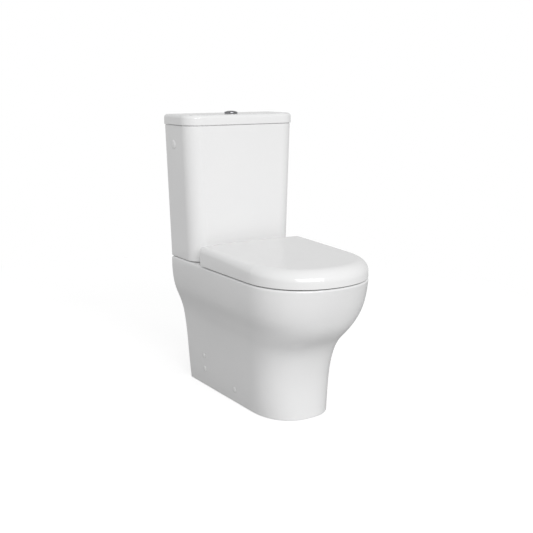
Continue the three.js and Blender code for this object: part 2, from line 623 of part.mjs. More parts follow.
// ---------------------------------------------------------------- caps, plugs and floor brackets
// A round cap on a side wall: a low dome outside and a stem that goes into the wall's hole.
function sideCap(side, half, y, z, { flange, stem, depth, lean }) {
  const profile = [[0, -depth], [stem, -depth], [stem, GAP], [flange, GAP], [flange, 1.2],
    [flange * 0.6, 2.4],
    [0, 2.8]];
  const points = profile.map(([r, h]) => v2(r, h));
  const geometry = new THREE.LatheGeometry(points, 12).rotateZ((-side * Math.PI) / 2);
  geometry.rotateY(-side * lean).translate(side * half, y, z);
  return toSolid(geometry);
}

const PAN_LEAN = -0.087; // the skirt leans out by this much, in radians, as it rises
const CISTERN_LEAN = Math.atan((CISTERN.topHalf - CISTERN.half) / (CISTERN.top - CISTERN.floor));

// Half width of the pan's side wall at a place, from the same curves as its outline.
function panSide(y, z) {
  const [half, backHalf, start] = [PAN_HALF, PAN_BACK_HALF, PAN_START].map((knots) => through(knots, z));
  const u = (y - start) / (WALL_Y - 6 - start);
  return backHalf + (half - backHalf) * Math.cos((u * Math.PI) / 2);
}

function makeBracket(side) {
  const wall = panSide(FIXING.y, FIXING.z) - SKIRT;
  const face = panSide(FIXING.y, 0) - SKIRT - 1.5;
  const flange = [side * (face - 4), side * face].sort((a, b) => a - b);
  const foot = [side * (face - 34), side * (face - 2)].sort((a, b) => a - b);
  const plate = box([flange[0], FIXING.y - 18, 0], [flange[1], FIXING.y + 18, 62]);
  const base = box([foot[0], FIXING.y - 18, 0], [foot[1], FIXING.y + 18, 4]);
  const screw = join(
    barX(4.6, side * (wall + 1.5), side * (wall + 4.5), FIXING.y, FIXING.z, 12),
    barX(2.4, side * (face - 10), side * (wall + 2), FIXING.y, FIXING.z, 12),
  );
  return {
    bracket: cut(
      join(plate, base),
      barX(2.9, side * (face - 5), side * (face + 1), FIXING.y, FIXING.z, 12),
      disc(3.2, -1, 5, { x: side * (face - 20), y: FIXING.y, segments: 12 }),
    ),
    screw,
  };
}

// ---------------------------------------------------------------- assembly
const toilet = new THREE.Group();

function addNode(name, solid, material) {
  const mesh = new THREE.Mesh(toGeometry(solid), material.clone());
  mesh.name = name;
  toilet.add(mesh);
}

addNode("pan", makePan(), CHINA);
addNode("cistern", makeCistern(), CHINA);
addNode("cistern_lid", makeLid(), CHINA);
addNode("seat_ring", makeSeatRing(), SEAT_PLASTIC);
addNode("seat_cover", makeSeatCover(), SEAT_PLASTIC);
for (const made of [makeButtons(), makeFlushValve(), makeFillValve()]) {
  for (const [name, [solid, material]] of Object.entries(made)) addNode(name, solid, material);
}

const BUFFERS = { front: [95, -253], rear: [148, -60] };
const CAP = { flange: 8.5, stem: 5.1, depth: 3, lean: PAN_LEAN };
const PLUG = { flange: 12.8, stem: 11, depth: 8, lean: -CISTERN_LEAN };
for (const [side, hand] of [[-1, "left"], [1, "right"]]) {
  const bolt = makeCisternBolt(side * BOLT_X);
  addNode("cistern_bolt_" + hand, bolt.bolt, STEEL);
  addNode("cistern_bolt_washer_" + hand, bolt.washer, RUBBER);
  addNode("cistern_wing_nut_" + hand, bolt.nut, WHITE_PLASTIC);

  const hinge = makeHinge(side);
  addNode("hinge_post_" + hand, hinge.post, CHROME);
  addNode("hinge_pin_" + hand, hinge.pin, STEEL);
  addNode("hinge_stud_" + hand, hinge.stud, STEEL);
  addNode("hinge_wing_nut_" + hand, hinge.nut, WHITE_PLASTIC);

  for (const [end, [x, y]] of Object.entries(BUFFERS)) {
    const place = { x: side * x, y, segments: 14 };
    addNode(`seat_buffer_${end}_${hand}`, disc(8, DECK_Z + GAP, SEAT.bottom - GAP, place), CLEAR_RUBBER);
  }
  const padPlace = { x: side * 62, y: -252, segments: 14 };
  const padTop = coverTop(padPlace.x, padPlace.y) - COVER_ROOF - 1.6;
  addNode("cover_buffer_" + hand, disc(6, SEAT.top + GAP, padTop, padPlace), CLEAR_RUBBER);

  const plugHalf = cisternHalf(SIDE_HOLE.z);
  const plug = sideCap(side, plugHalf, SIDE_HOLE.y, SIDE_HOLE.z, PLUG);
  addNode("cistern_side_plug_" + hand, plug, SEAT_PLASTIC);
  const caps = { front: [FIXING.y, FIXING.z], rear_low: [REAR_CAPS.y, REAR_CAPS.low],
    rear_high: [REAR_CAPS.y, REAR_CAPS.high] };
  for (const [place, [y, z]] of Object.entries(caps)) {
    addNode(`pan_cap_${place}_${hand}`, sideCap(side, panSide(y, z) + 0.3, y, z, CAP), SEAT_PLASTIC);
  }
  const fixing = makeBracket(side);
  addNode("floor_bracket_" + hand, fixing.bracket, STEEL);
  addNode("bracket_screw_" + hand, fixing.screw, STEEL);
}

export default toilet;
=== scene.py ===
"""Looks of the close coupled toilet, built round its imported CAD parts. Sizes below are in millimetres."""

import json
import math

import bmesh
import bpy
import numpy as np
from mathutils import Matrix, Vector


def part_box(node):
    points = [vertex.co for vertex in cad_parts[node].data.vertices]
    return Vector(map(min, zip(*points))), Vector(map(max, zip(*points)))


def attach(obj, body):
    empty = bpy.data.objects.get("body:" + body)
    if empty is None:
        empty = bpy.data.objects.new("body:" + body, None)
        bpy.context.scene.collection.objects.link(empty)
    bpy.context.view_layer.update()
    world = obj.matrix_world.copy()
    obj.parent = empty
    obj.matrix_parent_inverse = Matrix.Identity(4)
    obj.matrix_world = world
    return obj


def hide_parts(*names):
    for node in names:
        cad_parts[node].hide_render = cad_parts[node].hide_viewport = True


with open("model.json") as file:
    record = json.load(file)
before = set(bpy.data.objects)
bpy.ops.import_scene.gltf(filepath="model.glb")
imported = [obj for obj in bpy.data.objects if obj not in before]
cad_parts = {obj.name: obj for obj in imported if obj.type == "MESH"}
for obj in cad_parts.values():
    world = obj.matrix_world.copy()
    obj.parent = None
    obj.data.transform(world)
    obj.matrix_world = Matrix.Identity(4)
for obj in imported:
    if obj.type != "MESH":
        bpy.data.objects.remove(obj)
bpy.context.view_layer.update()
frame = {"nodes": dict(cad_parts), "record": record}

MM = 0.001
STATIC = "pan_and_cistern"
SIDES = (("left", -1), ("right", 1))


def box_mm(node):
    """Lowest and highest corner of a CAD node, in millimetres."""
    low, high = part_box(node)
    return np.array(low) / MM, np.array(high) / MM


# ---------------------------------------------------------------- places taken from the CAD parts
WALL_Y, DECK_Z = box_mm("pan")[1][1:]
TANK_LOW, TANK_HIGH = box_mm("cistern")
LID_LOW, LID_HIGH = box_mm("cistern_lid")
SEAT_LOW, SEAT_HIGH = box_mm("seat_ring")
COVER_LOW = box_mm("seat_cover")[0]


def middle(node):
    low, high = box_mm(node)
    return (low + high) / 2


VALVE = middle("flush_valve_base")[:2]
FILL = middle("fill_valve_body")[:2]
HINGE = middle("hinge_pin_left")[1:]
HINGE_X = abs(middle("hinge_stud_left")[0])
BOLT_X = abs(middle("cistern_bolt_left")[0])


# ---------------------------------------------------------------- curves and outlines
def spline(knots):
    """A natural cubic spline through (position, value) knots."""
    x, y = np.array(knots, float).T
    h = np.diff(x)
    rows, right = np.eye(len(x)), np.zeros(len(x))
    for i in range(1, len(x) - 1):
        rows[i, i - 1 : i + 2] = h[i - 1], 2 * (h[i - 1] + h[i]), h[i]
        right[i] = 6 * ((y[i + 1] - y[i]) / h[i] - (y[i] - y[i - 1]) / h[i - 1])
    bend = np.linalg.solve(rows, right)

    def at(t):
        i = int(np.clip(np.searchsorted(x, t) - 1, 0, len(h) - 1))
        a, b = x[i + 1] - t, t - x[i]
        return ((bend[i] * a**3 + bend[i + 1] * b**3) / (6 * h[i])
                + (y[i] / h[i] - bend[i] * h[i] / 6) * a + (y[i + 1] / h[i] - bend[i + 1] * h[i] / 6) * b)

    return at


def arc(cx, cy, radius, start, turn, count):
    """Points along an arc; start and turn are in degrees."""
    a = np.radians(start + turn * np.linspace(0, 1, count))
    return np.c_[cx + radius * np.cos(a), cy + radius * np.sin(a)]


REAR_CORNER = 6
FULLNESS = 1.15  # how much an eased front fills out towards its corners


def d_outline(back, front, start, half, back_half=None, corner=REAR_CORNER, curve=97, sides=25, rear_arc=7,
              across=0, ease=0.0):
    """Rounded front, sides that draw in towards the back, rounded rear corners.

    The front is half an ellipse; ease starts it further back and lets its bend grow from nothing.
    curve, sides, rear_arc and across are point counts."""
    back_half = half if back_half is None else back_half
    a = np.linspace(-math.pi, 0, curve)
    power = 2 / (2 + FULLNESS * ease)
    start = start + ease * (start - front)
    nose = np.c_[half * np.sign(np.cos(a)) * np.abs(np.cos(a)) ** power,
                 start - (start - front) * np.abs(np.sin(a)) ** power]
    u = np.linspace(0, 1, sides)[1:-1]
    side = np.c_[back_half + (half - back_half) * np.cos(u * math.pi / 2),
                 start + (back - corner - start) * u]
    rear = arc(back_half - corner, back - corner, corner, 0, 90, rear_arc)
    v = np.linspace(0, math.pi, across + 2)[1:-1]
    line = np.c_[(back_half - corner) * np.cos(v), np.full(across, back)]
    mirror = np.array([-1, 1])
    return np.vstack([nose, side, rear, line, rear[::-1] * mirror, side[::-1] * mirror])


def egg_outline(front, back, wide, half, count=128):
    """Two half ellipses that meet at the widest place."""
    a = np.arange(count) * 2 * math.pi / count
    reach = np.where(np.sin(a) < 0, wide - front, back - wide)
    return np.c_[half * np.cos(a), wide + reach * np.sin(a)]


def tank_outline(half, front, back, corner, rear=6, inset=0, steps=25, rear_steps=7):
    """A rectangle with wide corners at the front and small ones at the rear, drawn in by inset."""
    side, low, high = half - inset, front + inset, back - inset
    wide, small = max(corner - inset, 1), max(rear - inset, 1)
    return np.vstack([
        arc(-side + wide, low + wide, wide, 180, 90, steps),
        arc(side - wide, low + wide, wide, 270, 90, steps),
        arc(side - small, high - small, small, 0, 90, rear_steps),
        arc(-side + small, high - small, small, 90, 90, rear_steps)])


def at_height(outline, z):
    return np.c_[outline, np.full(len(outline), z)]


def rounding(radius, steps, down=None):
    """(inset, drop) pairs from the side face to the top face of a rounded edge."""
    a = np.linspace(0, math.pi / 2, steps)
    return np.c_[radius * (1 - np.cos(a)), (down or radius) * (1 - np.sin(a))]


# ---------------------------------------------------------------- meshes
def to_object(name, bm):
    mesh = bpy.data.meshes.new(name)
    bmesh.ops.recalc_face_normals(bm, faces=bm.faces)
    bm.to_mesh(mesh)
    bm.free()
    obj = bpy.data.objects.new(name, mesh)
    bpy.context.scene.collection.objects.link(obj)
    return obj


def loft(name, rings, nose=None):
    """A closed skin through rings of equal, even point count, given in millimetres.

    With nose, the number of the foremost point, the last ring is closed by strips from side to side."""
    bm = bmesh.new()
    rows = [[bm.verts.new(Vector(p) * MM) for p in ring] for ring in rings]
    for lower, upper in zip(rows, rows[1:]):
        for i in range(len(lower)):
            j = (i + 1) % len(lower)
            bm.faces.new((lower[i], lower[j], upper[j], upper[i]))
    bm.faces.new(rows[0][::-1])
    if nose is None:
        bm.faces.new(rows[-1])
    else:
        last = rows[-1]
        for i in range(len(last) // 2):
            corners = [last[(nose + k) % len(last)] for k in (i, i + 1, -i - 1, -i)]
            bm.faces.new(list(dict.fromkeys(corners)))
    return to_object(name, bm)


ON_AXIS = 1e-6  # a smaller radius is a single point on the axis


def lathe(name, profile, centre, segments=64, axis=(0, 0, 1)):
    """A (radius, height) profile turned round an axis through centre; it may start and end on the axis."""
    bm = bmesh.new()
    turn = Vector((0, 0, 1)).rotation_difference(Vector(axis)).to_matrix()
    place = Vector(centre)
    rings = []
    for radius, height in profile:
        count = segments if radius > ON_AXIS else 1
        angles = [2 * math.pi * i / count for i in range(count)]
        points = [Vector((radius * math.cos(a), radius * math.sin(a), height)) for a in angles]
        rings.append([bm.verts.new((turn @ point + place) * MM) for point in points])
    closed = profile[0][0] > ON_AXIS
    pairs = list(zip(rings, rings[1:])) + ([(rings[-1], rings[0])] if closed else [])
    for low, high in pairs:
        for i in range(segments):
            j = (i + 1) % segments
            corners = [low[i % len(low)], low[j % len(low)], high[j % len(high)], high[i % len(high)]]
            bm.faces.new(list(dict.fromkeys(corners)))
    return to_object(name, bm)


def rod(name, radius, start, end, segments=48):
    """A round bar between two points."""
    along = Vector(end) - Vector(start)
    profile = [(0, 0), (radius, 0), (radius, along.length), (0, along.length)]
    return lathe(name, profile, start, segments, along)


def block(name, low, high):
    """A box between two corners."""
    bm = bmesh.new()
    bmesh.ops.create_cube(bm, size=1)
    low, high = Vector(low) * MM, Vector(high) * MM
    for v in bm.verts:
        v.co = Vector(low[k] + (v.co[k] + 0.5) * (high[k] - low[k]) for k in range(3))
    return to_object(name, bm)


def combine(base, operation, *tools):
    """Booleans of base with each tool in turn; the tools are used up."""
    for tool in tools:
        modifier = base.modifiers.new("combine", "BOOLEAN")
        modifier.operation, modifier.object, modifier.solver = operation, tool, "MANIFOLD"
        graph = bpy.context.evaluated_depsgraph_get()
        mesh = bpy.data.meshes.new_from_object(base.evaluated_get(graph))
        base.modifiers.clear()
        base.data = mesh
        bpy.data.objects.remove(tool)
    return base


def join(base, *tools):
    return combine(base, "UNION", *tools)


def cut(base, *tools):
    return combine(base, "DIFFERENCE", *tools)


SHARP_EDGE = 32  # degrees between faces above which an edge stays crisp
CAD_SHARP_EDGE = 35  # the same for the CAD nodes


def smooth(obj):
    for polygon in obj.data.polygons:
        polygon.use_smooth = True
    obj.data.set_sharp_from_angle(angle=math.radians(SHARP_EDGE))
    weighted = obj.modifiers.new("even_normals", "WEIGHTED_NORMAL")
    weighted.keep_sharp = True


def finish_piece(obj, material, body, node):
    """Gives a piece its looks and puts it in place of a CAD node of a body."""
    obj.data.materials.clear()
    obj.data.materials.append(material)
    smooth(obj)
    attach(obj, body)
    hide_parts(node)


# ---------------------------------------------------------------- materials
NOISE_SPAN = (0.3, 0.7)  # where most of a noise's values lie


def add_node(tree, kind, values, sources=()):
    """A shader node with some inputs set to values and others linked to outputs, by input name."""
    node = tree.nodes.new(kind)
    for socket, value in values.items():
        node.inputs[socket].default_value = value
    for socket, output in dict(sources).items():
        tree.links.new(output, node.inputs[socket])
    return node


def noise(tree, coords, scale, detail):
    values = {"Scale": scale, "Detail": detail, "Roughness": 0.5}
    return add_node(tree, "ShaderNodeTexNoise", values, {"Vector": coords}).outputs["Fac"]


def ramp(tree, source, low, high):
    """Colours between low and high over a noise's values."""
    node = add_node(tree, "ShaderNodeValToRGB", {}, {"Fac": source})
    for element, place, colour in zip(node.color_ramp.elements, NOISE_SPAN, (low, high)):
        element.position = place
        element.color = (*colour, 1)
    return node.outputs["Color"]


def spread(tree, source, low, high, span=NOISE_SPAN):
    """Values across span, stretched to run from low to high."""
    values = {"From Min": span[0], "From Max": span[1], "To Min": low, "To Max": high}
    return add_node(tree, "ShaderNodeMapRange", values, {"Value": source}).outputs["Result"]


def surface(name, light, dark, gloss, *, metal=0.0, patch=9.0, grain=900.0, bump=0.05, depth=0.00004,
            ior=1.5):
    """A material whose colour drifts between two tones in patches.

    Its roughness drifts between the two values of gloss in smaller patches, and a fine grain lifts it."""
    material = bpy.data.materials.new(name)
    material.use_nodes = True
    tree = material.node_tree
    shader = tree.nodes["Principled BSDF"]
    coords = tree.nodes.new("ShaderNodeTexCoord").outputs["Object"]
    drift = noise(tree, coords, patch, 3.0)
    tree.links.new(ramp(tree, drift, dark, light), shader.inputs["Base Color"])
    streak = noise(tree, coords, patch * 2.3, 4.0)
    tree.links.new(spread(tree, streak, *gloss), shader.inputs["Roughness"])
    fine = noise(tree, coords, grain, 2.0)
    relief = add_node(tree, "ShaderNodeBump", {"Strength": bump, "Distance": depth}, {"Height": fine})
    tree.links.new(relief.outputs["Normal"], shader.inputs["Normal"])
    shader.inputs["Metallic"].default_value = metal
    shader.inputs["IOR"].default_value = ior
    return material


CHINA = surface("glazed_china", (0.862, 0.862, 0.862), (0.843, 0.843, 0.845), (0.05, 0.11), patch=5.0,
                grain=38.0, bump=0.35, depth=0.00035, ior=1.52)
SEAT_PLASTIC = surface("seat_plastic", (0.86, 0.86, 0.86), (0.845, 0.845, 0.845), (0.05, 0.10), patch=7.0,
                       grain=1400.0, bump=0.06, depth=0.00003, ior=1.49)
CHROME = surface("chrome_plate", (0.34, 0.34, 0.35), (0.26, 0.26, 0.275), (0.08, 0.2), metal=1.0,
                 patch=60.0, grain=500.0, bump=0.08)
BY_SLOT = {
    "china": CHINA,
    "seat_plastic": SEAT_PLASTIC,
    "chrome": CHROME,
    "steel": surface("zinc_plated_steel", (0.62, 0.61, 0.58), (0.46, 0.46, 0.45), (0.25, 0.45), metal=1.0,
                     patch=120.0, grain=1600.0, bump=0.3),
    "white_plastic": surface("white_moulding", (0.82, 0.82, 0.80), (0.76, 0.76, 0.745), (0.35, 0.5),
                             patch=30.0, bump=0.25),
    "grey_plastic": surface("grey_moulding", (0.30, 0.31, 0.32), (0.24, 0.25, 0.26), (0.4, 0.55),
                            patch=40.0, bump=0.25),
    "blue_plastic": surface("blue_moulding", (0.09, 0.2, 0.4), (0.07, 0.16, 0.33), (0.35, 0.5),
                            patch=40.0, bump=0.25),
    "rubber": surface("black_rubber", (0.035, 0.035, 0.036), (0.022, 0.022, 0.023), (0.6, 0.8), patch=60.0,
                      grain=2000.0, bump=0.4),
    "clear_rubber": surface("pale_rubber", (0.62, 0.62, 0.58), (0.54, 0.54, 0.5), (0.4, 0.6), patch=80.0,
                            bump=0.3),
}

# ---------------------------------------------------------------- pan
# The splines give widths and places along y at each height.
RIM_ROUND = 6  # the upper outer edge
BOWL_ROUND = 7  # the edge between the rim and the bowl
BOWL_WALL = 10
BOWL_FOOT = 118  # the bowl's wall keeps its outline below this height
SKIRT = 11  # thickness of the side walls
DECK = 12  # thickness of the top
pan_back_half = spline([(0, 110), (50, 115), (150, 123), (190, 127.5), (220, 132), (245, 138), (270, 147),
                        (300, 159), (335, 167), (370, 170), (400, 170)])
pan_half = spline([(0, 110), (50, 115), (150, 123.5), (190, 129), (220, 135), (245, 143), (270, 152),
                   (300, 165), (335, 173.5), (370, 177), (400, 177.5)])
pan_front = spline([(0, -185), (50, -180.5), (100, -180), (150, -187), (190, -200), (220, -220),
                    (245, -246), (270, -268), (300, -284), (335, -297), (370, -307), (400, -315)])
pan_start = spline([(0, -80), (100, -88), (190, -105), (245, -133), (300, -160), (400, -167)])
bowl_half = spline([(110, 30), (130, 45), (160, 60), (200, 83), (250, 108), (300, 124), (350, 130),
                    (400, 128)])
bowl_front = spline([(110, -70), (130, -92), (160, -128), (200, -176), (250, -226), (300, -256),
                     (350, -269), (400, -268)])
bowl_back = spline([(110, -10), (130, 0), (160, 6), (200, 12), (250, 18), (300, 24), (350, 28), (400, 25)])
BOWL_WIDEST = 0.36  # where it is widest, as a share of bowl_front
TRAP_PATH = [(-50, 128), (-22, 92), (22, 76), (62, 100), (88, 150), (118, 194), (162, 204), (206, 185),
             (250, 185)]
OUTLET = {"bore": 40, "outer": 51}
WELL = {"recess": 49, "bore": 36, "ledge": 386, "floor": 352, "wall": 8}
DUCT = {"radius": 16, "z": 368, "wall": 7}
DECK_HOLE = 6  # radius of the holes for hinges and cistern bolts
CAP_HOLE = 5.5  # radius of the holes under the screw caps
SUPPLY_HOLE = 16
SIDE_SCREWS = {"front": (35, 40), "rear_low": (210, 56), "rear_high": (210, 100)}


def pan_outline(z, inset=0, **shape):
    """The pan's outer outline at a height; its front is eased less towards the rim."""
    shape.setdefault("back", WALL_Y - inset)
    return d_outline(front=pan_front(z) + inset, start=pan_start(z), half=pan_half(z) - inset,
                     back_half=pan_back_half(z) - inset, ease=0.3 - 0.15 * max(z - 300, 0) / 100, **shape)


def bowl_outline(z, grow=0.0):
    return egg_outline(bowl_front(z) - grow, bowl_back(z) + grow, bowl_front(z) * BOWL_WIDEST,
                       bowl_half(z) + grow)


def trap_tube(name, radius, lead, overrun, steps=56, segments=48):
    """The trapway: rings square to a smooth path in the middle plane.

    lead lengthens it at the bowl's end and overrun at the outlet's."""
    points = np.array(TRAP_PATH, float)
    away = points[0] - points[1]
    points = np.vstack([points[0] + away / np.linalg.norm(away) * lead, points])
    points[-1, 0] += overrun
    reach = np.r_[0, np.cumsum(np.linalg.norm(np.diff(points, axis=0), axis=1))]
    path_y, path_z = spline(np.c_[reach, points[:, 0]]), spline(np.c_[reach, points[:, 1]])
    angles = np.arange(segments) * 2 * math.pi / segments
    rings = []
    for s in np.linspace(0, reach[-1], steps):
        ahead = np.array([path_y(s + 0.5) - path_y(s - 0.5), path_z(s + 0.5) - path_z(s - 0.5)])
        ahead /= np.linalg.norm(ahead)
        if s == reach[-1]:
            ahead = np.array([1.0, 0.0])  # the outlet's end is square to the wall
        rings.append(np.c_[radius * np.cos(angles), path_y(s) - radius * np.sin(angles) * ahead[1],
                           path_z(s) + radius * np.sin(angles) * ahead[0]])
    return loft(name, rings)


def pan_side(y, z):
    """Half width of the pan at a place on its side wall."""
    u = (y - pan_start(z)) / (WALL_Y - REAR_CORNER - pan_start(z))
    return pan_back_half(z) + (pan_half(z) - pan_back_half(z)) * math.cos(u * math.pi / 2)


def make_pan():
    foot = ((0, 1.2), (0.4, 0.35), (1.2, 0))  # (height, inset) of the small round at the floor
    skin = [at_height(pan_outline(z, inset), z) for z, inset in foot]
    skin += [at_height(pan_outline(z), z) for z in np.linspace(5, DECK_Z - RIM_ROUND, 72)]
    skin += [at_height(pan_outline(DECK_Z - drop, inset), DECK_Z - drop)
             for inset, drop in rounding(RIM_ROUND, 9)[1:]]
    # the hollow of the skirt is open at the back and the floor
    hollow = [at_height(pan_outline(max(z, 0), SKIRT, back=WALL_Y + 5, corner=3, curve=49, sides=13), z)
              for z in np.linspace(-1, DECK_Z - DECK, 24)]
    bowl = [at_height(bowl_outline(max(z, BOWL_FOOT), BOWL_WALL), z)
            for z in [BOWL_FOOT - 14, *np.linspace(140, DECK_Z - 1, 30)]]
    inside = [at_height(bowl_outline(z), z) for z in np.linspace(110, DECK_Z - BOWL_ROUND, 60)]
    inside += [at_height(bowl_outline(DECK_Z - drop, grow), DECK_Z - drop)
               for grow, drop in rounding(BOWL_ROUND, 9)[1:]]
    inside.append(at_height(bowl_outline(DECK_Z, BOWL_ROUND), DECK_Z + 1))

    def duct(name, radius, start):
        """The flush water's way from under the valve to the bowl."""
        return rod(name, radius, (0, start, DUCT["z"]), (0, VALVE[1], DUCT["z"]))

    pan = join(
        cut(loft("china_pan", skin), loft("hollow", hollow)),
        loft("bowl", bowl),
        trap_tube("trap", OUTLET["outer"], 20, 0),
        rod("well", WELL["recess"] + WELL["wall"], (*VALVE, WELL["floor"] - WELL["wall"]),
            (*VALVE, DECK_Z - 1), 96),
        duct("duct", DUCT["radius"] + DUCT["wall"], 30),
    )
    holes = []
    for _, side in SIDES:
        for x, y in ((side * HINGE_X, HINGE[0]), (side * BOLT_X, VALVE[1])):
            holes.append(rod("deck_hole", DECK_HOLE, (x, y, DECK_Z - 40), (x, y, DECK_Z + 1), 32))
        for y, z in SIDE_SCREWS.values():
            holes.append(rod("cap_hole", CAP_HOLE, (side * 90, y, z), (side * 130, y, z), 32))
    return cut(
        pan,
        loft("bowl_inside", inside),
        trap_tube("trap_bore", OUTLET["bore"], 2, 8),
        rod("well_recess", WELL["recess"], (*VALVE, WELL["ledge"]), (*VALVE, DECK_Z + 1), 96),
        rod("well_bore", WELL["bore"], (*VALVE, WELL["floor"]), (*VALVE, DECK_Z), 96),
        duct("duct_bore", DUCT["radius"], 10),
        rod("supply_hole", SUPPLY_HOLE, (*FILL, DECK_Z - 40), (*FILL, DECK_Z + 1), 64),
        *holes,
    )


# ---------------------------------------------------------------- cistern and lid
TANK = {"half": 169.5, "top_half": 183.6, "wall": 9, "floor": 12, "corner": 46, "bottom_round": 2,
        "top_round": 3, "inner_round": 8}
LID = {"half": 186.5, "front": 160.5, "corner": 48, "rear_corner": 7, "round": 10, "under_round": 3,
       "skin": 11, "hole": 18.5}
SIDE_HOLE = {"y": 262, "z": 742, "radius": 11.5}
TANK_HOLES = {"valve": 32, "supply": 11.5, "bolt": 5.5}
LID_SEAT = 10  # the slab's underside above the lowest point of the lip
LIP = {"gap": 2.2, "corner": 36, "wall": 6}


def tank_half(z):
    """Half width of the cistern, which widens upwards."""
    rise = (z - TANK_LOW[2]) / (TANK_HIGH[2] - TANK_LOW[2])
    return TANK["half"] + (TANK["top_half"] - TANK["half"]) * rise


def tank_ring(z, inset):
    outline = tank_outline(tank_half(z), TANK_LOW[1], WALL_Y, TANK["corner"], inset=inset)
    return at_height(outline, z)


def make_tank():
    low, high = TANK_LOW[2], TANK_HIGH[2]
    skin = [tank_ring(low + drop, inset) for inset, drop in rounding(TANK["bottom_round"], 7)[::-1]]
    skin += [tank_ring(z, 0) for z in np.linspace(low + 20, high - 20, 12)]
    skin += [tank_ring(high - drop, inset) for inset, drop in rounding(TANK["top_round"], 7)]
    inside = [tank_ring(low + TANK["floor"] + drop, TANK["wall"] + inset)
              for inset, drop in rounding(TANK["inner_round"], 7)[::-1]]
    inside += [tank_ring(z, TANK["wall"]) for z in (high - 20, high + 1)]

    def floor_hole(use, x, y):
        return rod(use + "_hole", TANK_HOLES[use], (x, y, low - 1), (x, y, low + TANK["floor"] + 1), 64)

    sides = [rod("side_hole", SIDE_HOLE["radius"], (side * 160, SIDE_HOLE["y"], SIDE_HOLE["z"]),
                 (side * 200, SIDE_HOLE["y"], SIDE_HOLE["z"])) for _, side in SIDES]
    return cut(loft("china_cistern", skin), loft("cistern_inside", inside), floor_hole("valve", *VALVE),
               floor_hole("supply", *FILL), floor_hole("bolt", BOLT_X, VALVE[1]),
               floor_hole("bolt", -BOLT_X, VALVE[1]), *sides)


def make_lid():
    low, high = LID_LOW[2] + LID_SEAT, LID_HIGH[2]

    def plan(z, inset):
        return at_height(tank_outline(LID["half"], LID["front"], WALL_Y, LID["corner"], LID["rear_corner"],
                                      inset), z)

    slab = [plan(low + drop, inset) for inset, drop in rounding(LID["under_round"], 7)[::-1]]
    slab += [plan(high - drop, inset) for inset, drop in rounding(LID["round"], 13)]
    edge = TANK["wall"] + LIP["gap"]

    def lip(z, inset):
        """The rim under the slab that drops into the cistern."""
        return at_height(tank_outline(TANK["top_half"] - edge, TANK_LOW[1] + edge, WALL_Y - edge,
                                      LIP["corner"], inset=inset), z)

    return cut(
        join(loft("china_lid", slab), loft("lip", [lip(LID_LOW[2], 0), lip(low + 2, 0)])),
        loft("lid_inside", [lip(LID_LOW[2] - 1, LIP["wall"]), lip(high - LID["skin"], LIP["wall"])]),
        rod("button_hole", LID["hole"], (*VALVE, low - 5), (*VALVE, high + 1), 96),
    )


# ---------------------------------------------------------------- push buttons
BUTTON = {"radius": 16.5, "rise": 3.6, "split": -3, "slit": 0.3}
COLLAR = {"inner": 16.9, "sleeve": 18, "flange": 19.8, "step": 0.3, "side": 1.8, "round": 1.3}


def make_buttons():
    """One dome cut in two by a slit: a large half for the full flush, a small one for the half flush."""
    (*_, low), (*_, high) = box_mm("full_flush_button")
    radius, rise, reach = BUTTON["radius"], BUTTON["rise"], 20
    dome = [(radius * math.cos(a), high - rise + rise * math.sin(a))
            for a in np.linspace(0, math.pi / 2, 17)]
    dome[-1] = (0, high)
    spans = {"full": (BUTTON["split"] + BUTTON["slit"], reach),
             "half": (-reach, BUTTON["split"] - BUTTON["slit"])}
    made = {}
    for name, (x0, x1) in spans.items():
        button = lathe(f"{name}_flush_cap", [(0, low), (radius, low), *dome], (*VALVE, 0), 96)
        keep = block("keep", (x0, VALVE[1] - reach, low - 1), (x1, VALVE[1] + reach, high + 1))
        made[name] = combine(button, "INTERSECT", keep)
    return made


def make_bezel():
    (*_, low), (*_, high) = box_mm("button_bezel")
    step = LID_HIGH[2] + COLLAR["step"]
    shoulder = step + COLLAR["side"]
    lip = [(COLLAR["flange"] - COLLAR["round"] * (1 - math.cos(a)),
            shoulder + (high - shoulder) * math.sin(a)) for a in np.linspace(0, math.pi / 2, 9)]
    inner, sleeve = COLLAR["inner"], COLLAR["sleeve"]
    profile = [(inner, low), (sleeve, low), (sleeve, step), (COLLAR["flange"], step), *lip,
               (inner + 0.7, high), (inner + 0.2, high - 0.3), (inner, high - 0.8)]
    return lathe("button_collar", profile, (*VALVE, 0), 96)


# ---------------------------------------------------------------- seat and cover
SEAT = {"rear": 76, "front": -303, "half": 165, "rear_half": 162, "start": -150, "corner": 22}
SEAT_HOLE = {"front": -232, "back": 34, "wide": -84, "half": 112}
SEAT_ROUND = {"across": 9, "down": 10, "hole_down": 8}  # of the upper edges
SEAT_UNDER_ROUND = {"across": 1.5, "up": 2}
SEAT_LUG = (86.5, 108)  # from and to, out from the middle
KNUCKLE = 9
PIN_BORE = 4.35


def lug(name, x0, x1, low, high):
    """A block with a round knuckle on the hinge line; low and high are its (y, z) corners."""
    return join(rod(name, KNUCKLE, (x0, *HINGE), (x1, *HINGE)), block("web", (x0, *low), (x1, *high)))


